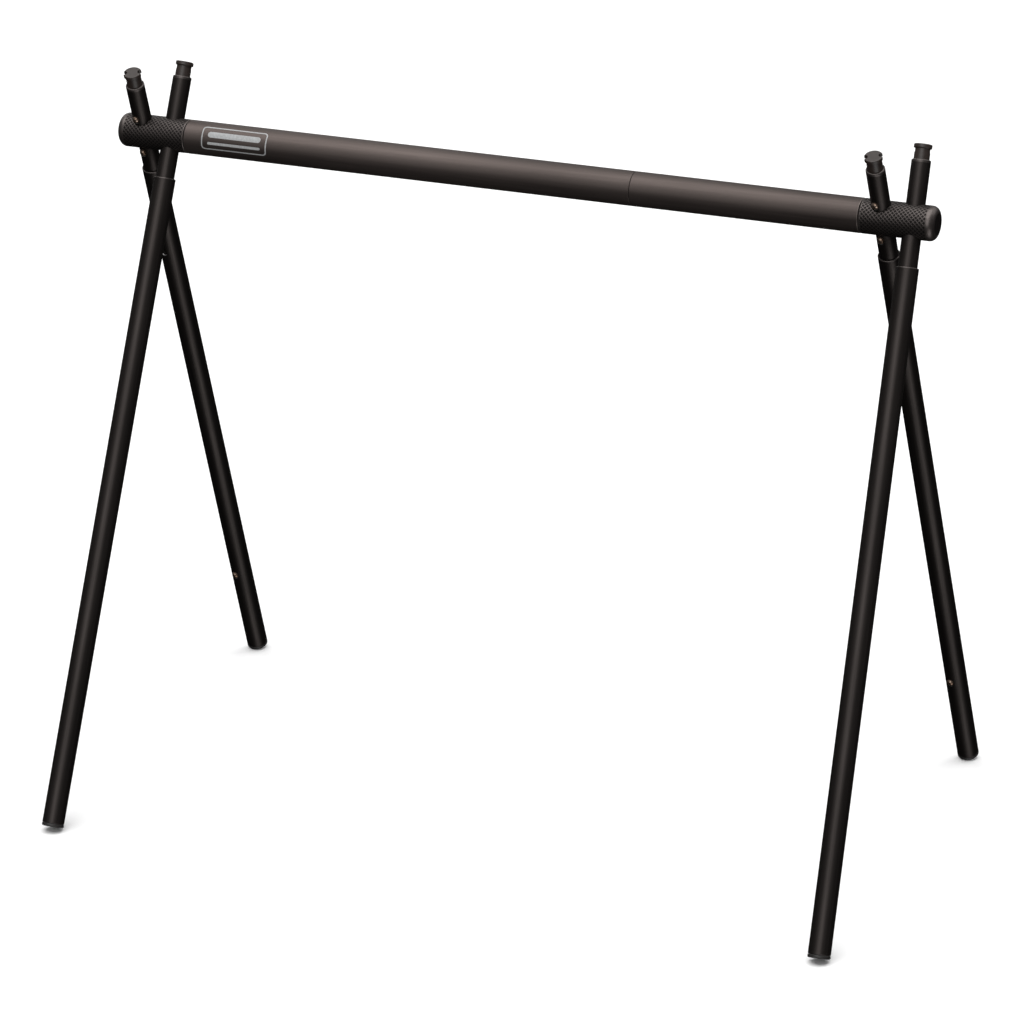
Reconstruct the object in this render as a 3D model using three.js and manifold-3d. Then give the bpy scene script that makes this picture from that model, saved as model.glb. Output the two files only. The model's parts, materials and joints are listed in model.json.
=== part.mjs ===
// A portable A-frame rack: a slim two-piece crossbar, a knurled hub at each end, and two crossed
// telescopic legs through each hub. Millimetres, +X along the crossbar, +Z up, floor at Z = 0.
// Apart from the crossbar's seam, the rack maps onto itself when it is turned half a turn about Z.

import * as THREE from "three";
import { mergeVertices } from "three/addons/utils/BufferGeometryUtils.js";
import Module from "manifold-3d";

const wasm = await Module();
wasm.setup();

// ---- driving dimensions ----

const GAP = 0.3; // clearance between neighbouring pieces
const BAR_RADIUS = 12.7; // a one inch crossbar
const BAR_WALL = 1.35;
const BAR_LENGTH = 530; // hub shoulder to hub shoulder
const BAR_SEAM_X = 91; // the two crossbar sections meet here
const BAR_CHAMFER = 0.8;

const HUB_LENGTH = 55.5;
const HUB_END_ROUNDING = 3.5;
const INNER_BORE_OFFSET = 14.7; // from the hub's shoulder to each bore's axis
const OUTER_BORE_OFFSET = 37.4;
const NECK_RADIUS = 8; // threaded neck between a hub and the crossbar
const NECK_LENGTH = 12;
const BUSH_LENGTH = 16;
const JOINER_PLUG_LENGTH = 18;

const LEAN = THREE.MathUtils.degToRad(22.6); // each leg from the vertical, seen from the side
const SPLAY = THREE.MathUtils.degToRad(1.25); // each foot outward, seen from the front
const LEG_LENGTH = 523; // from the crossbar's axis to the middle of the foot's face
const CLIP_TURN = THREE.MathUtils.degToRad(-15); // how far the snap buttons are turned round a leg

const UPPER_RADIUS = 7;
const UPPER_WALL = 1;
const UPPER_TOP = 44; // above the crossbar's axis, along the leg
const UPPER_OVERLAP_END = 68; // the upper tube stops this far above the foot, inside the lower tube
const LOWER_RADIUS = 8.2;
const LOWER_WALL = 0.9;
const LOWER_TOP = -33;
const TUBE_CHAMFER = 0.8;

const CAP_NECK_RADIUS = 5.7;
const CAP_NECK_LENGTH = 8; // showing above the tube
const CAP_PLUG_DEPTH = 8; // hidden inside the tube
const CAP_FLANGE_RADIUS = 6.8;
const CAP_FLANGE_HEIGHT = 3;
const NOTCH_WIDTH = 2.4;
const NOTCH_DEPTH = 3;
const NOTCH_FLOOR = 0.3; // below the flange's underside
const NOTCH_TURN = THREE.MathUtils.degToRad(35); // from the leg's +X

const FOOT_PLATE = 2.4;
const FOOT_PLUG_DEPTH = 12;
const FOOT_ROUNDING = 0.9;

const BUTTON_RADIUS = 2.6;
const BUTTON_STANDS_OUT = 1.5;
const HUB_BUTTON_HEIGHT = 15.5; // above and below the crossbar's axis, along the leg
const FOOT_BUTTON_HEIGHT = 81; // above the foot
const EXTENDED_HOLE_Z = -110; // the foot button's second hole, for the leg at its full length
const LEAF_OFFSET = 3.9; // leaf spring's inner face, from the leg's axis
const LEAF_THICKNESS = 0.6;
const LEAF_WIDTH = 7;
const LEAF_LENGTH = 20;

const BAR_SEGMENTS = 40;
const LEG_SEGMENTS = 32;
const SMALL_SEGMENTS = 16;

const paint = (color, roughness, metalness) =>
  new THREE.MeshStandardMaterial({ color, roughness, metalness });
const CROSSBAR_FINISH = paint(0x5c5452, 0.4, 0.8);
const HUB_FINISH = paint(0x2a2827, 0.45, 0.8);
const LEG_FINISH = paint(0x242120, 0.4, 0.8);
const CAP_FINISH = paint(0x3a3837, 0.5, 0.4);
const FOOT_FINISH = paint(0x181716, 0.6, 0);
const SPRING_FINISH = paint(0x8a7d72, 0.35, 1);
const BUSH_FINISH = paint(0x77726e, 0.4, 1);

// ---- solids ----

// A closed mesh as a manifold solid.
function toSolid(geometry) {
  const bare = geometry.clone();
  bare.deleteAttribute("normal");
  bare.deleteAttribute("uv");
  const merged = mergeVertices(bare, 1e-4);
  return new wasm.Manifold(
    new wasm.Mesh({
      numProp: 3,
      vertProperties: new Float32Array(merged.attributes.position.array),
      triVerts: new Uint32Array(merged.index.array),
    }),
  );
}

// A manifold solid back as a three.js geometry.
function toGeometry(solid) {
  const mesh = solid.getMesh();
  const geometry = new THREE.BufferGeometry();
  geometry.setAttribute("position", new THREE.BufferAttribute(mesh.vertProperties, 3));
  geometry.setIndex(new THREE.BufferAttribute(mesh.triVerts, 1));
  geometry.computeVertexNormals();
  return geometry;
}

// A solid turned about Z from [radius, z] points. They run upward on the outside. They start and
// end on the axis, or the outline closes on itself.
function turned(points, segments) {
  const profile = points.map(([radius, z]) => new THREE.Vector2(radius, z));
  return new THREE.LatheGeometry(profile, segments).rotateX(Math.PI / 2);
}

// A plain rod about Z.
function rod(radius, bottom, top, segments) {
  return turned([[0, bottom], [radius, bottom], [radius, top], [0, top]], segments);
}

// A tube about Z, with an optional chamfer on its outer edges.
function tube(radius, wall, bottom, top, segments, bottomChamfer, topChamfer) {
  const bore = radius - wall;
  const foot = [[radius - bottomChamfer, bottom], [radius, bottom + bottomChamfer]];
  const rim = [[radius, top - topChamfer], [radius - topChamfer, top]];
  const outside = [
    ...(bottomChamfer > 0 ? foot : [[radius, bottom]]),
    ...(topChamfer > 0 ? rim : [[radius, top]]),
  ];
  return turned([[bore, bottom], ...outside, [bore, top], [bore, bottom]], segments);
}

// Points of a quarter circle that takes an outside edge into a flat end.
function roundedEdge(radius, end, rounding, steps) {
  return Array.from({ length: steps + 1 }, (_, i) => {
    const angle = (i / steps) * (Math.PI / 2);
    return [
      radius - rounding + rounding * Math.cos(angle),
      end - rounding + rounding * Math.sin(angle),
    ];
  });
}

// ---- crossbar ----

const alongX = (geometry) => geometry.rotateY(Math.PI / 2);
const halfBar = BAR_LENGTH / 2;
const bushRadius = BAR_RADIUS - BAR_WALL - GAP;

function crossbarSection(start, end) {
  const section = tube(
    BAR_RADIUS, BAR_WALL, start + GAP / 2, end - GAP / 2, BAR_SEGMENTS, BAR_CHAMFER, BAR_CHAMFER,
  );
  return alongX(section);
}

// A threaded bush inside the crossbar, its mouth at the section's end. Side is the way out.
function bush(mouth, side) {
  const wall = bushRadius - (NECK_RADIUS + GAP);
  const inner = mouth - side * BUSH_LENGTH;
  const [bottom, top] = side > 0 ? [inner, mouth] : [mouth, inner];
  return alongX(tube(bushRadius, wall, bottom, top, BAR_SEGMENTS, 0, 0));
}

// The plug and stud that join the two sections: the plug fills the long section's end.
function joiner() {
  const mouth = BAR_SEAM_X - GAP;
  const tip = mouth + NECK_LENGTH;
  const outline = [
    [0, mouth - JOINER_PLUG_LENGTH],
    [bushRadius, mouth - JOINER_PLUG_LENGTH],
    [bushRadius, mouth],
    [NECK_RADIUS, mouth],
    [NECK_RADIUS, tip - 1],
    [NECK_RADIUS - 1, tip],
    [0, tip],
  ];
  return alongX(turned(outline, BAR_SEGMENTS));
}

// ---- hubs and where the legs stand ----

// Side is -1 on the left and +1 on the right. In each hub the outer bore holds the leg that a half
// turn of the rack carries to the other hub's outer bore.
const LEGS = [
  { name: "left_front", side: -1, front: true, offset: INNER_BORE_OFFSET },
  { name: "left_back", side: -1, front: false, offset: OUTER_BORE_OFFSET },
  { name: "right_front", side: 1, front: true, offset: OUTER_BORE_OFFSET },
  { name: "right_back", side: 1, front: false, offset: INNER_BORE_OFFSET },
];

// A frame whose +Z runs up the leg from the crossbar's axis, and whose -Y faces the snap buttons.
function legFrame({ side, front, offset }) {
  const frame = new THREE.Group();
  frame.position.set(side * (halfBar + offset), 0, 0);
  const lean = front ? -LEAN : LEAN;
  const turn = front ? Math.PI + CLIP_TURN : CLIP_TURN;
  frame.rotation.set(lean, -side * SPLAY, turn);
  return frame;
}

// A hub: a knurled bar as thick as the crossbar, with a rounded outer end, a threaded neck inside
// the crossbar, and a slanted bore for each of its two legs.
function hub(side) {
  const shoulder = halfBar + GAP / 2;
  const end = halfBar + HUB_LENGTH;
  const tip = shoulder - NECK_LENGTH;
  const outline = [
    [0, tip],
    [NECK_RADIUS - 1, tip],
    [NECK_RADIUS, tip + 1],
    [NECK_RADIUS, shoulder],
    [BAR_RADIUS - BAR_CHAMFER, shoulder],
    [BAR_RADIUS, shoulder + BAR_CHAMFER],
    ...roundedEdge(BAR_RADIUS, end, HUB_END_ROUNDING, 4),
    [0, end],
  ];
  const body = alongX(turned(outline, BAR_SEGMENTS));
  if (side < 0) {
    body.rotateZ(Math.PI);
  }
  let solid = toSolid(body);
  const reach = 2 * BAR_RADIUS;
  for (const leg of LEGS.filter((one) => one.side === side)) {
    const frame = legFrame(leg);
    frame.updateMatrix();
    const bore = rod(UPPER_RADIUS + GAP, -reach, reach, LEG_SEGMENTS).applyMatrix4(frame.matrix);
    solid = solid.subtract(toSolid(bore));
  }
  return toGeometry(solid);
}

// ---- legs, in their own frame ----

const footButtonZ = FOOT_BUTTON_HEIGHT - LEG_LENGTH;
const upperBottom = UPPER_OVERLAP_END - LEG_LENGTH;

// A radial hole in the -Y wall for a snap button.
function buttonHole(z) {
  const drill = new THREE.CylinderGeometry(
    BUTTON_RADIUS + GAP, BUTTON_RADIUS + GAP, LOWER_RADIUS + 2, SMALL_SEGMENTS,
  );
  return drill.translate(0, -(LOWER_RADIUS + 2) / 2 - 1, z);
}

function upperTube() {
  const pipe = tube(
    UPPER_RADIUS, UPPER_WALL, upperBottom, UPPER_TOP, LEG_SEGMENTS, 0, TUBE_CHAMFER,
  );
  const holes = [HUB_BUTTON_HEIGHT, -HUB_BUTTON_HEIGHT, footButtonZ].map(buttonHole);
  return toGeometry(holes.reduce((solid, hole) => solid.subtract(toSolid(hole)), toSolid(pipe)));
}

function lowerTube() {
  const bottom = FOOT_PLATE + GAP - LEG_LENGTH;
  const pipe = tube(LOWER_RADIUS, LOWER_WALL, bottom, LOWER_TOP, LEG_SEGMENTS, 0, TUBE_CHAMFER);
  const holes = [footButtonZ, EXTENDED_HOLE_Z].map(buttonHole);
  return toGeometry(holes.reduce((solid, hole) => solid.subtract(toSolid(hole)), toSolid(pipe)));
}

// A cord notch of the cap's flange: a slot, round at its inner end.
function notch(turn) {
  const half = NOTCH_WIDTH / 2;
  const inner = CAP_FLANGE_RADIUS - NOTCH_DEPTH + half;
  const outer = CAP_FLANGE_RADIUS + 1;
  const outline = new THREE.Shape();
  outline.moveTo(outer, -half);
  outline.lineTo(outer, half);
  outline.lineTo(inner, half);
  outline.absarc(inner, 0, half, Math.PI / 2, (3 * Math.PI) / 2, false);
  const depth = NOTCH_FLOOR + CAP_FLANGE_HEIGHT + 1;
  const slot = new THREE.ExtrudeGeometry(outline, { depth, bevelEnabled: false, curveSegments: 8 });
  return slot.translate(0, 0, UPPER_TOP + CAP_NECK_LENGTH - NOTCH_FLOOR).rotateZ(turn);
}

// The tie-off cap: a plug in the tube's mouth, a neck for a cord, and a flange with two notches.
function cap() {
  const neckTop = UPPER_TOP + CAP_NECK_LENGTH;
  const top = neckTop + CAP_FLANGE_HEIGHT;
  const outline = [
    [0, UPPER_TOP - CAP_PLUG_DEPTH],
    [CAP_NECK_RADIUS, UPPER_TOP - CAP_PLUG_DEPTH],
    [CAP_NECK_RADIUS, neckTop],
    [CAP_FLANGE_RADIUS - 0.4, neckTop],
    [CAP_FLANGE_RADIUS, neckTop + 0.4],
    [CAP_FLANGE_RADIUS, top - 0.6],
    [CAP_FLANGE_RADIUS - 0.6, top],
    [0, top],
  ];
  const body = toSolid(turned(outline, LEG_SEGMENTS));
  const notches = [NOTCH_TURN, NOTCH_TURN + Math.PI].map((turn) => toSolid(notch(turn)));
  return toGeometry(notches.reduce((solid, slot) => solid.subtract(slot), body));
}

// The foot: a flat plate with a rounded rim, and a plug that fills the lower tube's end.
function foot() {
  const plugRadius = LOWER_RADIUS - LOWER_WALL - GAP;
  const rim = roundedEdge(LOWER_RADIUS, 0, FOOT_ROUNDING, 3);
  const plate = rim.map(([radius, z]) => [radius, -z - LEG_LENGTH]).reverse();
  const outline = [
    [0, -LEG_LENGTH],
    ...plate,
    [LOWER_RADIUS, FOOT_PLATE - LEG_LENGTH],
    [plugRadius, FOOT_PLATE - LEG_LENGTH],
    [plugRadius, FOOT_PLATE + FOOT_PLUG_DEPTH - LEG_LENGTH],
    [0, FOOT_PLATE + FOOT_PLUG_DEPTH - LEG_LENGTH],
  ];
  return turned(outline, LEG_SEGMENTS);
}

// A snap clip in one piece: a domed button on a leaf spring. The button stands out through the tube
// wall towards -Y, and the leaf runs along the leg, tail bent inward. Tail is +1 up or -1 down.
function clip(z, tubeRadius, tail) {
  const tip = tubeRadius + BUTTON_STANDS_OUT;
  const root = LEAF_OFFSET + LEAF_THICKNESS / 2;
  const dome = roundedEdge(BUTTON_RADIUS, tip, 1, 3);
  const button = turned([[0, root], [BUTTON_RADIUS, root], ...dome, [0, tip]], SMALL_SEGMENTS);
  button.rotateX(Math.PI / 2);
  button.translate(0, 0, z);

  const near = LEAF_OFFSET;
  const far = LEAF_OFFSET + LEAF_THICKNESS;
  const end = BUTTON_RADIUS + 1;
  const bend = LEAF_LENGTH * 0.55;
  const drop = 3;
  const leafOutline = new THREE.Shape([
    new THREE.Vector2(-end, near),
    new THREE.Vector2(-end, far),
    new THREE.Vector2(bend, far),
    new THREE.Vector2(LEAF_LENGTH, far - drop),
    new THREE.Vector2(LEAF_LENGTH, near - drop),
    new THREE.Vector2(bend, near),
  ]);
  const leaf = new THREE.ExtrudeGeometry(leafOutline, { depth: LEAF_WIDTH, bevelEnabled: false });
  leaf.translate(0, 0, -LEAF_WIDTH / 2);
  // Outline x becomes the leg's z, outline y becomes -Y.
  const upright = new THREE.Matrix4().makeBasis(
    new THREE.Vector3(0, 0, 1), new THREE.Vector3(0, -1, 0), new THREE.Vector3(1, 0, 0),
  );
  leaf.applyMatrix4(upright);
  if (tail < 0) {
    leaf.rotateY(Math.PI);
  }
  leaf.translate(0, 0, z);
  return toGeometry(toSolid(leaf).add(toSolid(button)));
}

// ---- assembly ----

function piece(name, geometry, material) {
  const mesh = new THREE.Mesh(geometry, material);
  mesh.name = name;
  return mesh;
}

const rack = new THREE.Group();
rack.add(
  piece("crossbar_long_section", crossbarSection(-halfBar, BAR_SEAM_X), CROSSBAR_FINISH),
  piece("crossbar_short_section", crossbarSection(BAR_SEAM_X, halfBar), CROSSBAR_FINISH),
  piece("crossbar_joiner", joiner(), BUSH_FINISH),
  piece("short_section_bush", bush(BAR_SEAM_X + GAP, -1), BUSH_FINISH),
  piece("left_hub_bush", bush(-halfBar + GAP, -1), BUSH_FINISH),
  piece("right_hub_bush", bush(halfBar - GAP, 1), BUSH_FINISH),
  piece("left_hub", hub(-1), HUB_FINISH),
  piece("right_hub", hub(1), HUB_FINISH),
);

for (const leg of LEGS) {
  const frame = legFrame(leg);
  frame.add(
    piece(`${leg.name}_upper_tube`, upperTube(), LEG_FINISH),
    piece(`${leg.name}_lower_tube`, lowerTube(), LEG_FINISH),
    piece(`${leg.name}_cap`, cap(), CAP_FINISH),
    piece(`${leg.name}_foot`, foot(), FOOT_FINISH),
    piece(`${leg.name}_clip_above_hub`, clip(HUB_BUTTON_HEIGHT, UPPER_RADIUS, 1), SPRING_FINISH),
    piece(`${leg.name}_clip_below_hub`, clip(-HUB_BUTTON_HEIGHT, UPPER_RADIUS, -1), SPRING_FINISH),
    piece(`${leg.name}_foot_clip`, clip(footButtonZ, LOWER_RADIUS, 1), SPRING_FINISH),
  );
  rack.add(frame);
}

// Stand the rack on the floor.
rack.updateMatrixWorld(true);
rack.position.z = -new THREE.Box3().setFromObject(rack, true).min.z;

export default rack;
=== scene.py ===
import json
import math
from collections import namedtuple

import bmesh
import bpy
from mathutils import Matrix, Vector


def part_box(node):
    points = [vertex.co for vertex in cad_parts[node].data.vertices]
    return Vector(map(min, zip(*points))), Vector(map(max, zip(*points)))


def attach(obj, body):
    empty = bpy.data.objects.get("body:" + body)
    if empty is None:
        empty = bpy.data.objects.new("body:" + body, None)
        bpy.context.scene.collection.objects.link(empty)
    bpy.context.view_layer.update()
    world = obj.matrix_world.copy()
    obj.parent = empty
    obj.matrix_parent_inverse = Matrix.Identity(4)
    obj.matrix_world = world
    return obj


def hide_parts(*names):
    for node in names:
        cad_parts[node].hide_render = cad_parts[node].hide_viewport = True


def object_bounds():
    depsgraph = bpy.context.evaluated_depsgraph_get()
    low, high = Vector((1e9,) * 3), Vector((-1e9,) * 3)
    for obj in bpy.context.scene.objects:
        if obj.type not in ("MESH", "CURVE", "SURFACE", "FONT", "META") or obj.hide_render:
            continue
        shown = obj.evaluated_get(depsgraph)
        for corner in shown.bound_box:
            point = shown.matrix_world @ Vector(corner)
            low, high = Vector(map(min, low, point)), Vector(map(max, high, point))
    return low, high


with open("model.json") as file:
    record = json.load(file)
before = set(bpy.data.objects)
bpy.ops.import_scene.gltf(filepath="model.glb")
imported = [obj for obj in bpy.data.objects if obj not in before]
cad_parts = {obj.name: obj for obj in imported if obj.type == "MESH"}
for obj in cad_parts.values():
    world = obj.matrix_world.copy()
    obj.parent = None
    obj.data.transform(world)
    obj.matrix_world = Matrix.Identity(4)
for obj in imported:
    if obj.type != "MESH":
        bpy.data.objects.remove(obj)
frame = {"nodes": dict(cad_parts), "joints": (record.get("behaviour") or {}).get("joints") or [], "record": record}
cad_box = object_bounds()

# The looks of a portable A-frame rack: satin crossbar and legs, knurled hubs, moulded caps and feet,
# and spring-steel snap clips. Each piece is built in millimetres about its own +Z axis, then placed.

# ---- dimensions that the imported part's outer sizes don't give, in millimetres ----

MM = 0.001
TAU = 2 * math.pi
QUARTER = math.pi / 2

RING_GAP = 0.01  # keeps neighbouring rings apart

BAR_WALL = 1.35
BAR_END_ROUNDING = 0.8
BAR_SEAM_ROUNDING = 0.25
UPPER_WALL = 1.0
LOWER_WALL = 0.9
UPPER_RIM_ROUNDING = 0.95
LOWER_RIM_ROUNDING = 0.55
# Widths of the bands below the tubes' rims that are painted lighter as a highlight.
UPPER_RIM_BAND = 1.3
LOWER_RIM_BAND = 0.3

# The hub's shoulder rounding, smooth band and end rounding are painted lighter as a highlight.
HUB_END_ROUNDING = 5.0
HUB_BAND = 0.6  # smooth, between the knurl and the end's rounding
NECK_RADIUS = 8.0
NECK_LENGTH = 12.0
NECK_CHAMFER = 1.0
BORE_GAP = 0.3
KNURL_STARTS = 25
KNURL_SAMPLES = 12
KNURL_DEPTH = 0.15
KNURL_RIDGE = 0.06
KNURL_FLANK = 0.2
KNURL_MARGIN = 0.5

THREAD_PITCH = 1.5
THREAD_DEPTH = 0.55
THREAD_SAMPLES = 6

BUTTON_RADIUS = 2.6
BUTTON_STANDS_OUT = 1.5
BUTTON_BEVEL = 0.9
HUB_BUTTON_HEIGHT = 15.5
FOOT_BUTTON_HEIGHT = 81.0
EXTENDED_HOLE_Z = -110.0
HOLE_FLARE = 0.7
LEAF_OFFSET = 3.9
LEAF_THICKNESS = 0.6
LEAF_WIDTH = 7.0
LEAF_LENGTH = 20.0
LEAF_STRAIGHT = 7.7  # from the button to where the tail starts to bend
LEAF_HEAD = 1.0  # past the button, at the other end
LEAF_DROP = 3.0

CAP_NECK_RADIUS = 5.7
CAP_FLANGE_HEIGHT = 3.0
CAP_TURN = math.radians(35)
NOTCH_WIDTH = 2.4
NOTCH_DEPTH = 3.0
NOTCH_EYE = 2.1
NOTCH_FLOOR = 3.0  # below the flange

FOOT_PLATE = 2.4
FOOT_ROUNDING = 0.9
GRIP_RINGS = (2.2, 4.0, 5.8)
GRIP_WIDTH = 0.5  # half of a groove's mouth, and its depth
GRIP_TAPER = 0.6
GRIP_EDGE = 6.6

TUBE_SEGMENTS = 96
SMALL_SEGMENTS = 48

LABEL_START = 15.0
LABEL_LENGTH = 53.0
LABEL_HEIGHT = 18.0
LABEL_CORNER = 3.0
LABEL_LINE = 0.9
LABEL_BARS = ((2.6, 4.4), (-4.0, 2.0))  # middle height and thickness
LABEL_BAR_REACH = 21.5
LABEL_FACING = math.radians(20)
LABEL_LIFT = 0.04
LABEL_WELD = 0.00001  # in metres

# ---- where things are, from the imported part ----

record = frame["record"]
BODY_OF = {node: body for body, nodes in record["behaviour"]["bodies"].items() for node in nodes}
MOUNTS = {row["name"]: row for row in record["mounts"]}
JOINTS = {row["name"]: row for row in frame["joints"]}
LEG_NAMES = ("left_front", "left_back", "right_front", "right_back")

bar_low, bar_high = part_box("crossbar_long_section")
bar_axis_height = (bar_low.z + bar_high.z) / 2
bar_radius = (bar_high.z - bar_low.z) / 2 / MM


def place(origin, x_axis, z_axis):
    """The matrix of a local frame that keeps +Z and makes +X square to it."""
    z = Vector(z_axis).normalized()
    y = z.cross(Vector(x_axis)).normalized()
    x = y.cross(z)
    return Matrix.Translation(origin) @ Matrix((x, y, z)).transposed().to_4x4()


def leg_place(leg):
    """A leg's frame: origin on the crossbar's axis, +Z up the leg, -Y towards the snap buttons."""
    foot = MOUNTS[f"{leg}_foot_face"]
    up = -Vector(foot["axis"]).normalized()
    inward = Vector(JOINTS[f"{leg}_foot_clip_press"]["axis"])
    bottom = Vector(foot["pos_m"])
    top = bottom + up * (bar_axis_height - bottom.z) / up.z
    return place(top, inward.cross(up), up)


def crossbar_place(x=0.0, side=1):
    """A frame on the crossbar's axis, +Z outward to that side."""
    return place((x, 0, bar_axis_height), (0, side, 0), (side, 0, 0))


def extent(node, where):
    """A CAD node's radius, lowest z and highest z in a local frame, in millimetres."""
    inverse = where.inverted()
    points = [inverse @ vertex.co / MM for vertex in frame["nodes"][node].data.vertices]
    radius = max(math.hypot(point.x, point.y) for point in points)
    heights = [point.z for point in points]
    return radius, min(heights), max(heights)


# ---- turned shapes ----

# One circle of a turned surface. Relief(angle, z) is how far the surface lies below the radius.
# Paint is the material of the band that leads up to this ring.
Ring = namedtuple("Ring", "radius z relief paint", defaults=(None, 0))

# A corner of an outline, its rounding, and the material of that rounding.
Corner = namedtuple("Corner", "radius z rounding paint", defaults=(0, 0))


def rounded(corners, closed=False, steps=5):
    """The rings of an outline whose corners are rounded by arcs."""
    rings = []
    count = len(corners)
    for i, corner in enumerate(corners):
        here = Vector((corner.radius, corner.z))
        is_end = not closed and i in (0, count - 1)
        if corner.rounding == 0 or is_end:
            rings.append(Ring(corner.radius, corner.z, None, corner.paint))
            continue
        before = corners[i - 1]
        after = corners[(i + 1) % count]
        back = (Vector((before.radius, before.z)) - here).normalized()
        on = (Vector((after.radius, after.z)) - here).normalized()
        half = back.angle(on) / 2
        tangent = corner.rounding / math.tan(half)
        centre = here + (back + on).normalized() * corner.rounding / math.sin(half)
        start = here + back * tangent - centre
        end = here + on * tangent - centre
        turn = start.angle(end)
        for step in range(steps + 1):
            share = step / steps
            arm = (start * math.sin((1 - share) * turn) + end * math.sin(share * turn)) / math.sin(turn)
            rings.append(Ring(*(centre + arm), None, corner.paint if step else 0))
    return rings


def run(radius, start, end, spacing, relief):
    """Evenly spaced rings along a cylinder, surface lowered by a relief."""
    count = max(1, round((end - start) / spacing))
    heights = [start + (end - start) * i / count for i in range(count + 1)]
    return [Ring(radius, height, relief) for height in heights]


def split(quad, height):
    """A relief's quad as two triangles, cut along the groove or ridge that crosses it."""
    a, b, c, d = quad
    one = (abs(height[a] - height[c]), height[a] + height[c])
    two = (abs(height[b] - height[d]), height[b] + height[d])
    return [(a, b, c), (a, c, d)] if one <= two else [(a, b, d), (b, c, d)]


def turned(name, rings, segments, paints, closed=False):
    """An object turned about Z. Rings run upward on the outside; a radius of 0 is on the axis."""
    points = []
    height = []
    rows = []
    for ring in rings:
        around = 1 if ring.radius == 0 else segments
        rows.append([len(points) + i for i in range(around)])
        for i in range(around):
            angle = TAU * i / segments
            lowered = ring.relief(angle, ring.z) if ring.relief else 0
            radius = ring.radius - lowered
            points.append(Vector((radius * math.cos(angle), radius * math.sin(angle), ring.z)) * MM)
            height.append(round(radius, 5))
    faces = []
    face_paints = []
    neighbours = list(zip(rings, rows, rings[1:], rows[1:]))
    if closed:
        neighbours.append((rings[-1], rows[-1], rings[0], rows[0]))
    for ring, low, next_ring, high in neighbours:
        for i in range(segments):
            j = (i + 1) % segments
            if len(low) == 1:
                made = [(low[0], high[j], high[i])]
            elif len(high) == 1:
                made = [(low[i], low[j], high[0])]
            elif ring.relief and next_ring.relief:
                made = split((low[i], low[j], high[j], high[i]), height)
            else:
                made = [(low[i], low[j], high[j], high[i])]
            faces += made
            face_paints += [next_ring.paint] * len(made)
    return solid(name, points, faces, paints, face_paints)


def solid(name, points, faces, paints, face_paints=None):
    """A mesh object with its materials."""
    mesh = bpy.data.meshes.new(name)
    mesh.from_pydata(points, [], faces)
    for paint in paints:
        mesh.materials.append(paint)
    if face_paints:
        mesh.polygons.foreach_set("material_index", face_paints)
    mesh.validate()
    piece = bpy.data.objects.new(name, mesh)
    bpy.context.scene.collection.objects.link(piece)
    return piece


def prism(count):
    """The faces between an outline of so many points and the same outline repeated after it."""
    sides = [(i, (i + 1) % count, count + (i + 1) % count, count + i) for i in range(count)]
    ends = [tuple(reversed(range(count))), tuple(range(count, 2 * count))]
    return sides + ends


def combine(piece, others, operation="DIFFERENCE"):
    """Cuts other solids from a piece, or joins them to it. The others are used up."""
    for other in others:
        modifier = piece.modifiers.new("combine", "BOOLEAN")
        modifier.operation = operation
        modifier.solver = "EXACT"
        modifier.material_mode = "TRANSFER"
        modifier.object = other
    bpy.context.view_layer.update()
    whole = piece.evaluated_get(bpy.context.evaluated_depsgraph_get())
    mesh = bpy.data.meshes.new_from_object(whole)
    piece.modifiers.clear()
    piece.data = mesh
    for other in others:
        bpy.data.objects.remove(other)
    return piece


def crisp(piece, angle=35):
    """Smooth shading that keeps real edges sharp."""
    piece.data.shade_smooth()
    piece.data.set_sharp_from_angle(angle=math.radians(angle))
    weighted = piece.modifiers.new("shading", "WEIGHTED_NORMAL")
    weighted.keep_sharp = True
    weighted.weight = 90


def stand_for(piece, node, where=None):
    """Puts a finished piece in place of a CAD node, on that node's body."""
    if where is not None:
        piece.matrix_world = where
    crisp(piece)
    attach(piece, BODY_OF[node])
    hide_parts(node)
    return piece


# ---- materials ----


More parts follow.
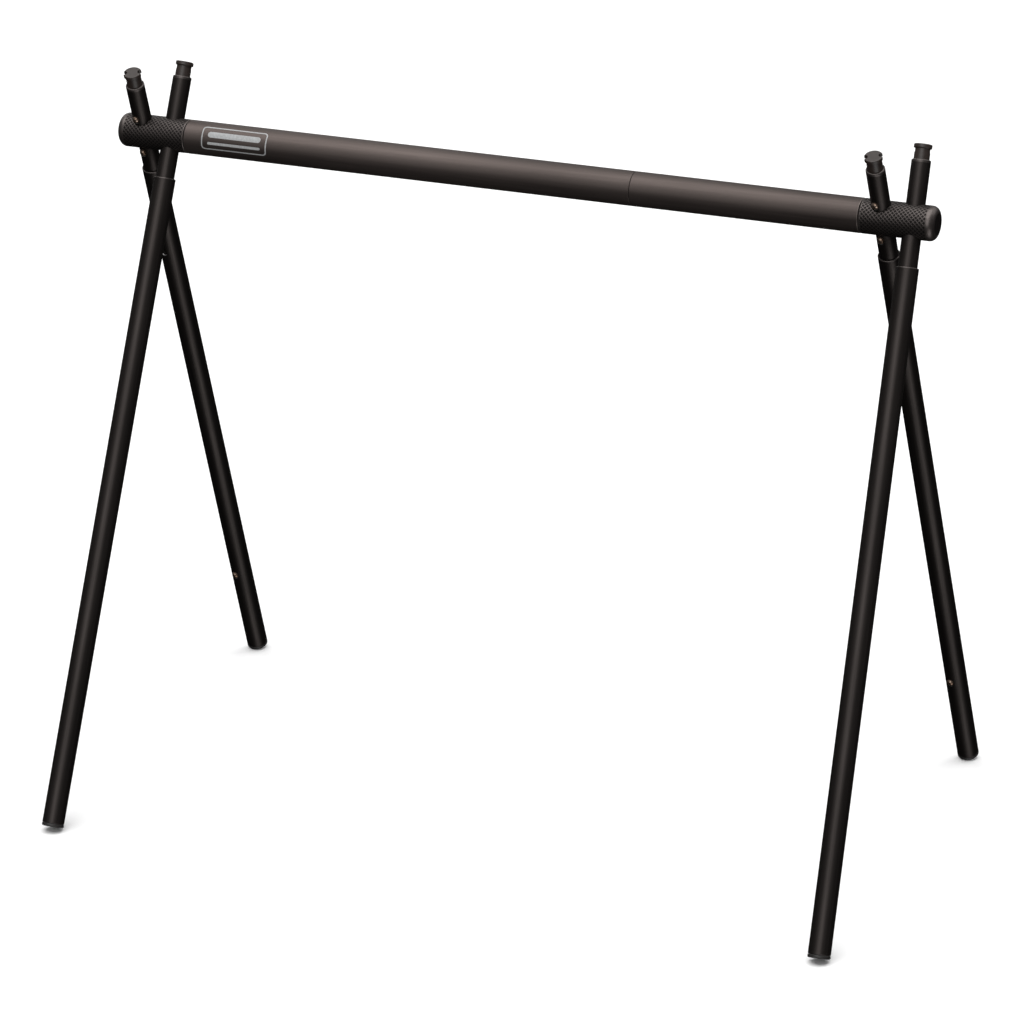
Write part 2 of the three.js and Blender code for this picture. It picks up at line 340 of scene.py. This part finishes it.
class Nodes:
    """A material's node tree and its Principled shader, with short ways to add to them."""

    def __init__(self, name, roughness, metallic, specular):
        self.material = bpy.data.materials.new(name)
        self.material.use_nodes = True
        self.tree = self.material.node_tree
        self.shader = self.tree.nodes["Principled BSDF"]
        self.shader.inputs["Roughness"].default_value = roughness
        self.shader.inputs["Metallic"].default_value = metallic
        self.shader.inputs["Specular IOR Level"].default_value = specular
        self.place = self.add("ShaderNodeTexCoord").outputs["Object"]
        self.height = None

    def add(self, kind, links=None, **settings):
        """A new node. Links feed its inputs by name or number; settings set its own properties."""
        node = self.tree.nodes.new(kind)
        for key, value in settings.items():
            setattr(node, key, value)
        for key, value in (links or {}).items():
            if isinstance(value, bpy.types.NodeSocket):
                self.tree.links.new(value, node.inputs[key])
            else:
                node.inputs[key].default_value = value
        return node

    def noise(self, scale, stretch=(1, 1, 1), detail=3.0):
        """Noise about 1/scale metres across, drawn out where stretch is small."""
        mapping = self.add("ShaderNodeMapping", {"Vector": self.place, "Scale": stretch})
        links = {"Vector": mapping.outputs["Vector"], "Scale": scale, "Detail": detail}
        return self.add("ShaderNodeTexNoise", links).outputs["Fac"]

    def remap(self, value, low, high, to_low=0.0, to_high=1.0):
        """A value taken from one range to another."""
        links = {"Value": value, "From Min": low, "From Max": high, "To Min": to_low, "To Max": to_high}
        return self.add("ShaderNodeMapRange", links).outputs["Result"]

    def mix(self, share, first, second):
        """A colour between two others."""
        links = {"Factor": share, 6: first, 7: second}
        return self.add("ShaderNodeMix", links, data_type="RGBA").outputs[2]

    def bump(self, height, depth, strength=1.0):
        """Adds fine relief, its depth in metres."""
        links = {"Height": height, "Distance": depth, "Strength": strength}
        if self.height is not None:
            links["Normal"] = self.height
        self.height = self.add("ShaderNodeBump", links).outputs["Normal"]
        self.tree.links.new(self.height, self.shader.inputs["Normal"])

    def feed(self, socket, value):
        """Links a value to the shader."""
        self.tree.links.new(value, self.shader.inputs[socket])


def grey(level, warmth=0.0):
    """A dark grey, reddened a little by warmth."""
    return (level * (1 + warmth), level, level * (1 - warmth * 0.35), 1)


ALONG = (1, 1, 0.02)  # noise drawn out into lines along a piece
AROUND = (0.15, 0.15, 1)  # and into lines round it
FINE = 0.00001  # metres of relief too fine to see singly


def anodised(name, level, warmth, roughness, metallic=0.9, specular=0.3, lines=0.2):
    """Anodised aluminium: faint drawing lines, a fine satin grain and slow changes of tone."""
    made = Nodes(name, roughness, metallic, specular)
    drawn = made.noise(900, ALONG, 4.0)
    tone = made.noise(14, (1, 1, 0.4), 2.0)
    grain = made.noise(5200, detail=2.0)
    share = made.remap(tone, 0.3, 0.7)
    made.feed("Base Color", made.mix(share, grey(level * 0.88, warmth), grey(level * 1.12, warmth)))
    made.feed("Roughness", made.remap(drawn, 0.3, 0.7, roughness - 0.05, roughness + 0.06))
    made.bump(drawn, FINE, lines)
    made.bump(grain, FINE, 0.35)
    return made


def knurled(name, level, warmth):
    """The hub's black anodised knurl: painted shade darkens its grooves; its tips are lighter as rubbed wear and
    as a painted highlight.
    """
    made = anodised(name, level, warmth, 0.42, 0.85, 0.3, 0.1)
    flat = made.add("ShaderNodeVectorMath", {0: made.place, 1: (1, 1, 0)}, operation="MULTIPLY")
    radius = made.add("ShaderNodeVectorMath", {0: flat.outputs[0]}, operation="LENGTH").outputs["Value"]
    tip = made.remap(radius, (bar_radius - KNURL_DEPTH) * MM, bar_radius * MM)
    wear_and_painted_light = made.add("ShaderNodeMath", {0: tip, 1: 2.5}, operation="POWER").outputs[0]
    # Painted shade in the grooves, and a lighter tip that is partly wear and partly a painted highlight.
    made.feed("Base Color", made.mix(wear_and_painted_light, grey(level * 0.5, warmth), grey(level * 3, warmth)))
    made.feed("Roughness", made.remap(tip, 0, 1, 0.6, 0.36))
    return made.material


def moulded(name, level, warmth, roughness):
    """Moulded plastic with a fine spark-eroded texture."""
    made = Nodes(name, roughness, 0.0, 0.55)
    texture = made.noise(2600)
    tone = made.noise(120, detail=2.0)
    made.feed("Base Color", made.mix(tone, grey(level * 0.85, warmth), grey(level * 1.15, warmth)))
    made.feed("Roughness", made.remap(texture, 0.3, 0.7, roughness - 0.06, roughness + 0.1))
    made.bump(texture, 3 * FINE, 0.5)
    return made.material


def spring_steel(name):
    """Bronzed spring steel with a rolled grain."""
    made = Nodes(name, 0.32, 0.9, 0.5)
    rolled = made.noise(1500, ALONG, 4.0)
    bloom = made.noise(260)
    bronze = (0.2, 0.13, 0.09, 1)
    bright = (0.42, 0.33, 0.27, 1)
    made.feed("Base Color", made.mix(made.remap(bloom, 0.35, 0.7), bronze, bright))
    made.feed("Roughness", made.remap(rolled, 0.3, 0.7, 0.25, 0.42))
    made.bump(rolled, FINE, 0.4)
    return made.material


def turned_metal(name, level):
    """Bare machined aluminium with fine tool marks round its axis."""
    made = Nodes(name, 0.35, 0.9, 0.5)
    marks = made.noise(3500, AROUND)
    tone = made.noise(90, detail=2.0)
    made.feed("Base Color", made.mix(tone, grey(level * 0.85, 0.03), grey(level * 1.15, 0.03)))
    made.feed("Roughness", made.remap(marks, 0.3, 0.7, 0.28, 0.45))
    made.bump(marks, FINE, 0.5)
    return made.material


def printed_ink(name):
    """Pale pad-printed ink, a little thin in places."""
    made = Nodes(name, 0.55, 0.0, 0.4)
    film = made.noise(700)
    made.feed("Base Color", made.mix(made.remap(film, 0.35, 0.65), grey(0.36, -0.02), grey(0.45, -0.02)))
    made.feed("Roughness", made.remap(film, 0.3, 0.7, 0.5, 0.62))
    made.bump(film, FINE, 0.3)
    return made.material


CROSSBAR = anodised("crossbar_anodised", 0.077, 0.22, 0.5).material
# A lighter copy of the crossbar's anodising, painted on its end roundings as a highlight.
CROSSBAR_EDGE_HIGHLIGHT = anodised("crossbar_edge_painted_highlight", 0.12, 0.18, 0.45).material
HUB = knurled("hub_anodised", 0.027, 0.15)
# A lighter copy of the hub's anodising, painted on its roundings as a highlight.
HUB_END_HIGHLIGHT = anodised("hub_end_painted_highlight", 0.1, 0.15, 0.42).material
LEG = anodised("leg_anodised", 0.033, 0.16, 0.43).material
# A lighter copy of the legs' anodising, painted on their rims and bottom edges as a highlight.
LEG_RIM_HIGHLIGHT = anodised("leg_rim_painted_highlight", 0.085, 0.14, 0.45).material
DRILLED = turned_metal("drilled_edge", 0.3)
THREAD = turned_metal("turned_thread", 0.42)
CAP = moulded("cap_plastic", 0.019, 0.45, 0.42)
FOOT = moulded("foot_plastic", 0.016, 0.1, 0.5)
CLIP = spring_steel("clip_spring_steel")
INK = printed_ink("label_ink")


# ---- crossbar ----


def thread(outward):
    """A V thread's relief, cut inward on a rod or outward in a bush."""
    def relief(angle, z):
        phase = z / THREAD_PITCH - angle / TAU
        height = 2 * abs(phase - round(phase))
        return (-THREAD_DEPTH if outward else THREAD_DEPTH) * (1 - height)
    return relief


def threaded_run(radius, start, end, outward=False):
    """Rings of a thread."""
    return run(radius, start, end, THREAD_PITCH / THREAD_SAMPLES, thread(outward))


def crossbar_section(node, left_rounding, right_rounding):
    """A tube of the crossbar. Its larger roundings, next to a hub, are painted lighter as a highlight."""
    where = crossbar_place()
    radius, start, end = extent(node, where)
    bore = radius - BAR_WALL
    corners = [
        Corner(bore, start, 0.2),
        Corner(radius, start, left_rounding, int(left_rounding > BAR_SEAM_ROUNDING)),
        Corner(radius, end, right_rounding, int(right_rounding > BAR_SEAM_ROUNDING)),
        Corner(bore, end, 0.2),
    ]
    piece = turned(f"{node}_fine", rounded(corners, True), TUBE_SEGMENTS, [CROSSBAR, CROSSBAR_EDGE_HIGHLIGHT], True)
    return stand_for(piece, node, where)


def joiner():
    """The plug and threaded stud inside the crossbar's seam."""
    node = "crossbar_joiner"
    where = crossbar_place()
    radius, back, tip = extent(node, where)
    mouth = tip - NECK_LENGTH
    rings = rounded([
        Corner(0, back),
        Corner(radius, back, 0.6),
        Corner(radius, mouth, 0.4),
        Corner(NECK_RADIUS - THREAD_DEPTH, mouth),
    ])
    rings += threaded_run(NECK_RADIUS, mouth + 0.8, tip - NECK_CHAMFER)
    rings += [Ring(NECK_RADIUS - NECK_CHAMFER, tip), Ring(0, tip)]
    stand_for(turned(f"{node}_fine", rings, TUBE_SEGMENTS, [THREAD]), node, where)


def bush(node):
    """A threaded bush inside the crossbar."""
    where = crossbar_place()
    radius, start, end = extent(node, where)
    bore = NECK_RADIUS + BORE_GAP
    outside = [Corner(bore, start), Corner(radius, start, 0.3), Corner(radius, end, 0.3), Corner(bore, end)]
    inside = threaded_run(bore, start + 0.4, end - 0.4, True)
    piece = turned(f"{node}_fine", rounded(outside) + inside[::-1], TUBE_SEGMENTS, [THREAD], True)
    stand_for(piece, node, where)


# ---- hubs ----


def knurl(radius, start, end):
    """A diamond knurl's relief: two families of ridges that cross at right angles."""
    pitch = TAU * radius / KNURL_STARTS

    def relief(angle, z):
        turn = angle / TAU * KNURL_STARTS
        along = (z - start) / pitch
        nearest = min(abs(value - round(value)) for value in (turn + along, turn - along))
        fade = min(1, (z - start) / KNURL_MARGIN, (end - z) / KNURL_MARGIN)
        return KNURL_DEPTH * fade * min(1, max(0, nearest - KNURL_RIDGE) / KNURL_FLANK)

    return pitch, relief


def hub(node, side, legs):
    """A knurled hub with a smooth rounded end, a threaded neck and a slanted bore for each leg."""
    where = crossbar_place(0, side)
    radius, tip, end = extent(node, where)
    shoulder = tip + NECK_LENGTH
    knurl_start = shoulder + BAR_END_ROUNDING
    knurl_end = end - HUB_END_ROUNDING - HUB_BAND
    pitch, relief = knurl(radius, knurl_start, knurl_end)
    rings = [Ring(0, tip), Ring(NECK_RADIUS - NECK_CHAMFER, tip)]
    rings += threaded_run(NECK_RADIUS, tip + NECK_CHAMFER, shoulder - 1)
    rings += rounded([
        Corner(NECK_RADIUS - THREAD_DEPTH, shoulder - 0.8),
        Corner(NECK_RADIUS - THREAD_DEPTH, shoulder, 0.3),
        Corner(radius, shoulder, BAR_END_ROUNDING, 1),
        Corner(radius, knurl_start + RING_GAP),
    ])
    rings += run(radius, knurl_start + 2 * RING_GAP, knurl_end, pitch / KNURL_SAMPLES, relief)
    # The shoulder's rounding above, the smooth band and the end's rounding are painted lighter as a highlight; the
    # end disc takes the darker leg anodising.
    rings += rounded([
        Corner(radius, knurl_end + 5 * RING_GAP),
        Corner(radius, knurl_end + HUB_BAND / 2, 0, 1),
        Corner(radius, end, HUB_END_ROUNDING, 1),
        Corner(0, end, 0, 2),
    ], steps=10)
    piece = turned(f"{node}_fine", rings, KNURL_STARTS * KNURL_SAMPLES, [HUB, HUB_END_HIGHLIGHT, LEG])
    piece.matrix_world = where
    bores = []
    for leg in legs:
        leg_frame = leg_place(leg)
        bore = extent(f"{leg}_upper_tube", leg_frame)[0] + BORE_GAP
        reach = 2 * radius
        rings = [Ring(0, -reach), Ring(bore, -reach), Ring(bore, reach), Ring(0, reach)]
        cutter = turned("bore", rings, TUBE_SEGMENTS, [HUB_END_HIGHLIGHT])
        cutter.matrix_world = leg_frame
        bores.append(cutter)
    stand_for(combine(piece, bores), node)


# ---- legs ----


def drill(z, wall_radius):
    """A cutter for a button hole through the -Y wall, flared to break the hole's edge."""
    bore = BUTTON_RADIUS + BORE_GAP
    tip = wall_radius + 1
    rings = [
        Ring(0, 1),
        Ring(bore, 1),
        Ring(bore, wall_radius - HOLE_FLARE),
        Ring(bore + HOLE_FLARE + 1, tip),
        Ring(0, tip),
    ]
    cutter = turned("drill", rings, SMALL_SEGMENTS, [DRILLED])
    cutter.data.transform(Matrix.Rotation(QUARTER, 4, "X"))
    cutter.data.transform(Matrix.Translation((0, 0, z * MM)))
    return cutter


def leg_tube(node, where, wall, rim_rounding, rim_band, holes):
    """A leg tube with a rounded rim at its top, painted lighter as a highlight together with its bottom edge, and
    holes for its snap buttons.
    """
    radius, bottom, top = extent(node, where)
    bore = radius - wall
    corners = [
        Corner(bore, bottom, 0.15),
        # The bottom edge, the top rim and the band below it are painted lighter as a highlight.
        Corner(radius, bottom, 0.4, 1),
        Corner(radius, top - rim_rounding - rim_band),
        Corner(radius, top - rim_rounding - RING_GAP, 0, 1),
        Corner(radius, top, rim_rounding, 1),
        Corner(bore, top, 0.1, 1),
    ]
    piece = turned(f"{node}_fine", rounded(corners, True, 6), TUBE_SEGMENTS, [LEG, LEG_RIM_HIGHLIGHT], True)
    combine(piece, [drill(z, radius) for z in holes])
    return stand_for(piece, node, where)


def cap(node, where):
    """A tie-off cap: plug, cord neck, and a flange with two opposite keyhole notches."""
    radius, bottom, top = extent(node, where)
    under = top - CAP_FLANGE_HEIGHT
    corners = [
        Corner(0, bottom),
        Corner(CAP_NECK_RADIUS, bottom, 0.8),
        Corner(CAP_NECK_RADIUS, under, 0.5),
        Corner(radius, under + 0.15, 0.4),
        Corner(radius, top, 0.7),
        Corner(0, top),
    ]
    piece = turned(f"{node}_fine", rounded(corners, False, 6), TUBE_SEGMENTS, [CAP])
    notches = []
    for turn in (CAP_TURN, CAP_TURN + math.pi):
        inner = radius - NOTCH_DEPTH + NOTCH_EYE
        notches.append(keyhole(inner, radius + 1, under - NOTCH_FLOOR, top + 1, turn))
    return stand_for(combine(piece, notches), node, where)


def keyhole(eye, outer, low, high, turn):
    """A cutter for an upright slot that runs outward from a round eye."""
    steps = 24
    half_width = NOTCH_WIDTH / 2
    mouth = math.asin(half_width / NOTCH_EYE)
    arc = [mouth + (TAU - 2 * mouth) * i / steps for i in range(steps + 1)]
    outline = [(eye + NOTCH_EYE * math.cos(a), NOTCH_EYE * math.sin(a)) for a in arc]
    outline += [(outer, -half_width), (outer, half_width)]
    spin = Matrix.Rotation(turn, 3, "Z")
    points = [spin @ Vector((x, y, z)) * MM for z in (low, high) for x, y in outline]
    return solid("slot", points, prism(len(outline)), [CAP])


def foot(node, where):
    """A foot: plug, plate with a rounded rim, and grip rings in its face."""
    radius, bottom, top = extent(node, where)
    plug = radius - LOWER_WALL - BORE_GAP
    inner = GRIP_WIDTH * GRIP_TAPER
    rings = [Ring(0, bottom)]
    for middle in GRIP_RINGS:
        rings += [
            Ring(middle - GRIP_WIDTH, bottom),
            Ring(middle - inner, bottom + GRIP_WIDTH),
            Ring(middle + inner, bottom + GRIP_WIDTH),
            Ring(middle + GRIP_WIDTH, bottom),
        ]
    rings += rounded([
        Corner(GRIP_EDGE, bottom),
        Corner(radius, bottom, FOOT_ROUNDING),
        Corner(radius, bottom + FOOT_PLATE, 0.3),
        Corner(plug, bottom + FOOT_PLATE, 0.15),
        Corner(plug, top, 0.8),
        Corner(0, top),
    ])
    return stand_for(turned(f"{node}_fine", rings, TUBE_SEGMENTS, [FOOT]), node, where)


def clip(node, where, z, wall_radius, tail):
    """A snap clip: a bevelled button riveted to a leaf spring whose tail is bent inward."""
    tip = wall_radius + BUTTON_STANDS_OUT
    root = LEAF_OFFSET + LEAF_THICKNESS / 2
    rings = rounded([
        Corner(0, root),
        Corner(BUTTON_RADIUS, root),
        Corner(BUTTON_RADIUS, tip - BUTTON_BEVEL, 0.2),
        Corner(BUTTON_RADIUS - BUTTON_BEVEL, tip, 0.2),
        Corner(0, tip),
    ], False, 6)
    button = turned("button", rings, SMALL_SEGMENTS, [CLIP])
    button.data.transform(Matrix.Rotation(QUARTER, 4, "X"))
    piece = leaf(f"{node}_fine", tail)
    combine(piece, [button], "UNION")
    piece.data.transform(Matrix.Translation((0, 0, z * MM)))
    return stand_for(piece, node, where)


def leaf(name, tail):
    """A leaf spring behind a button at z = 0, bent inward towards its tail."""
    steps = 10
    middle = [(-(BUTTON_RADIUS + LEAF_HEAD), 0), (0, 0), (LEAF_STRAIGHT, 0)]
    for i in range(1, steps + 1):
        share = i / steps
        along = LEAF_STRAIGHT + (LEAF_LENGTH - LEAF_STRAIGHT) * share
        middle.append((along, -LEAF_DROP * share * share * (1.6 - 0.6 * share)))
    front = [(tail * along, LEAF_OFFSET + LEAF_THICKNESS + rise) for along, rise in middle]
    back = [(tail * along, LEAF_OFFSET + rise) for along, rise in reversed(middle)]
    outline = front + back
    half = LEAF_WIDTH / 2
    points = [Vector((x, -out, up)) * MM for x in (-half, half) for up, out in outline]
    piece = solid(name, points, prism(len(outline)), [CLIP])
    sheet = bmesh.new()
    sheet.from_mesh(piece.data)
    bmesh.ops.recalc_face_normals(sheet, faces=sheet.faces)
    sheet.to_mesh(piece.data)
    sheet.free()
    return piece


# ---- the blank printed label ----


def label():
    """A pale blank label printed on the long section: a plain frame round two plain bars."""
    where = crossbar_place(bar_low.x)
    length = LABEL_LENGTH / 2
    half = LABEL_HEIGHT / 2
    middle = LABEL_START + length
    outer = rounded_rectangle(length, half, LABEL_CORNER)
    inner = rounded_rectangle(length - LABEL_LINE, half - LABEL_LINE, LABEL_CORNER - LABEL_LINE)
    flat = [(outer[i - 1], outer[i], inner[i], inner[i - 1]) for i in range(len(outer))]
    for centre, thickness in LABEL_BARS:
        flat += bar_cells(centre, thickness / 2, LABEL_BAR_REACH)
    level = bar_radius + LABEL_LIFT
    mesh = bmesh.new()
    for cell in flat:
        corners = []
        for along, up in cell:
            angle = LABEL_FACING + up / bar_radius
            point = Vector((-level * math.cos(angle), level * math.sin(angle), middle + along))
            corners.append(mesh.verts.new(point * MM))
        mesh.faces.new(corners)
    bmesh.ops.remove_doubles(mesh, verts=mesh.verts, dist=LABEL_WELD)
    bmesh.ops.recalc_face_normals(mesh, faces=mesh.faces)
    data = bpy.data.meshes.new("blank_label")
    mesh.to_mesh(data)
    mesh.free()
    data.materials.append(INK)
    piece = bpy.data.objects.new("blank_label", data)
    bpy.context.scene.collection.objects.link(piece)
    piece.matrix_world = where
    crisp(piece)
    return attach(piece, BODY_OF["crossbar_long_section"])


def rounded_rectangle(length, half, corner):
    """Points round a rectangle's outline: arcs at its corners, evenly spaced along its sides."""
    arc_steps = 8
    side_steps = 12
    signs = ((1, 1), (-1, 1), (-1, -1), (1, -1))
    centres = [Vector((x * (length - corner), y * (half - corner))) for x, y in signs]
    points = []
    for i, centre in enumerate(centres):
        for step in range(arc_steps + 1):
            angle = (i + step / arc_steps) * QUARTER
            points.append(centre + corner * Vector((math.cos(angle), math.sin(angle))))
        start = points[-1]
        side = centres[(i + 1) % 4] - centre
        points += [start + side * step / side_steps for step in range(1, side_steps)]
    return points


def bar_cells(centre, half, reach):
    """A plain bar with round ends, as cells fine enough to follow the crossbar."""
    stations = [-reach + half - half * math.cos(i / 8 * math.pi / 2) for i in range(9)]
    stations += [-stations[8 - i] for i in range(9)]
    rows = []
    for along in stations:
        from_end = max(0.0, abs(along) - (reach - half))
        height = math.sqrt(max(0.0, half * half - from_end * from_end))
        rows.append([(along, centre + height * (k / 4 - 1)) for k in range(9)])
    return [
        (left[k], right[k], right[k + 1], left[k + 1])
        for left, right in zip(rows, rows[1:])
        for k in range(8)
    ]


# ---- the whole rack ----

crossbar_section("crossbar_long_section", BAR_END_ROUNDING, BAR_SEAM_ROUNDING)
crossbar_section("crossbar_short_section", BAR_SEAM_ROUNDING, BAR_END_ROUNDING)
joiner()
for bush_node in ("short_section_bush", "left_hub_bush", "right_hub_bush"):
    bush(bush_node)
hub("left_hub", -1, LEG_NAMES[:2])
hub("right_hub", 1, LEG_NAMES[2:])
label()

for leg in LEG_NAMES:
    leg_frame = leg_place(leg)
    foot_z = extent(f"{leg}_foot", leg_frame)[1]
    foot_button_z = foot_z + FOOT_BUTTON_HEIGHT
    upper_radius = extent(f"{leg}_upper_tube", leg_frame)[0]
    lower_radius = extent(f"{leg}_lower_tube", leg_frame)[0]
    upper_holes = (HUB_BUTTON_HEIGHT, -HUB_BUTTON_HEIGHT, foot_button_z)
    lower_holes = (foot_button_z, EXTENDED_HOLE_Z)
    leg_tube(f"{leg}_upper_tube", leg_frame, UPPER_WALL, UPPER_RIM_ROUNDING, UPPER_RIM_BAND, upper_holes)
    leg_tube(f"{leg}_lower_tube", leg_frame, LOWER_WALL, LOWER_RIM_ROUNDING, LOWER_RIM_BAND, lower_holes)
    cap(f"{leg}_cap", leg_frame)
    foot(f"{leg}_foot", leg_frame)
    clip(f"{leg}_clip_above_hub", leg_frame, HUB_BUTTON_HEIGHT, upper_radius, 1)
    clip(f"{leg}_clip_below_hub", leg_frame, -HUB_BUTTON_HEIGHT, upper_radius, -1)
    clip(f"{leg}_foot_clip", leg_frame, foot_button_z, lower_radius, 1)

# ---- stage, light and camera ----


def floor():
    """A wide pale floor that neither colours the object nor hides the light from beneath it."""
    made = Nodes("studio_floor", 0.9, 0.0, 0.1)
    tone = made.noise(0.6, detail=1.0)
    made.feed("Base Color", made.mix(tone, (0.9, 0.9, 0.9, 1), (0.94, 0.94, 0.94, 1)))
    size = 40
    points = [(-size, -size, 0), (size, -size, 0), (size, size, 0), (-size, size, 0)]
    ground = solid("studio_floor", points, [(0, 1, 2, 3)], [made.material])
    ground.location.z = cad_box[0].z - 0.0005
    ground.visible_glossy = False
    ground.visible_diffuse = False
    ground.visible_shadow = False


def towards(azimuth, elevation):
    """The direction from the object to a viewer or a light. Azimuth 0 is on the -Y side."""
    turn = math.radians(azimuth)
    rise = math.radians(elevation)
    return Vector((math.sin(turn) * math.cos(rise), -math.cos(turn) * math.cos(rise), math.sin(rise)))


def sun(name, azimuth, elevation, strength, softness):
    """A soft directional light from an azimuth and elevation in degrees."""
    lamp = bpy.data.lights.new(name, "SUN")
    lamp.energy = strength
    lamp.angle = math.radians(softness)
    light = bpy.data.objects.new(name, lamp)
    light.rotation_mode = "QUATERNION"
    light.rotation_quaternion = towards(azimuth, elevation).to_track_quat("Z", "Y")
    bpy.context.scene.collection.objects.link(light)


def sky(strength):
    """Pale light from above, fading to dark below the horizon."""
    world = bpy.data.worlds.new("studio")
    world.use_nodes = True
    tree = world.node_tree
    background = tree.nodes["Background"]
    background.inputs["Strength"].default_value = strength
    direction = tree.nodes.new("ShaderNodeTexCoord")
    split_axes = tree.nodes.new("ShaderNodeSeparateXYZ")
    fade = tree.nodes.new("ShaderNodeMapRange")
    fade.inputs["From Min"].default_value = -0.15
    fade.inputs["From Max"].default_value = 0.1
    fade.inputs["To Min"].default_value = 0.06
    tree.links.new(direction.outputs["Generated"], split_axes.inputs["Vector"])
    tree.links.new(split_axes.outputs["Z"], fade.inputs["Value"])
    tree.links.new(fade.outputs["Result"], background.inputs["Color"])
    bpy.context.scene.world = world


def camera(azimuth, elevation, distance, lens, target):
    """A camera that looks at a target point from a distance in metres."""
    data = bpy.data.cameras.new("camera")
    data.lens = lens
    eye = bpy.data.objects.new("camera", data)
    back = towards(azimuth, elevation)
    eye.location = Vector(target) + back * distance
    eye.rotation_mode = "QUATERNION"
    eye.rotation_quaternion = (-back).to_track_quat("-Z", "Y")
    bpy.context.scene.collection.objects.link(eye)
    bpy.context.scene.camera = eye


bpy.context.scene.view_settings.view_transform = "Standard"
floor()
sky(0.1)
sun("key_light", azimuth=-20, elevation=78, strength=3.0, softness=70)
sun("front_light", azimuth=6, elevation=22, strength=0.9, softness=45)
sun("bounce_light", azimuth=50, elevation=-48, strength=0.75, softness=42)
sun("back_light", azimuth=230, elevation=25, strength=0.5, softness=50)
sun("rear_key_light", azimuth=140, elevation=45, strength=0.9, softness=55)
camera(azimuth=22.907, elevation=19.721, distance=3.957, lens=187.27, target=(-0.005, 0, 0.225))
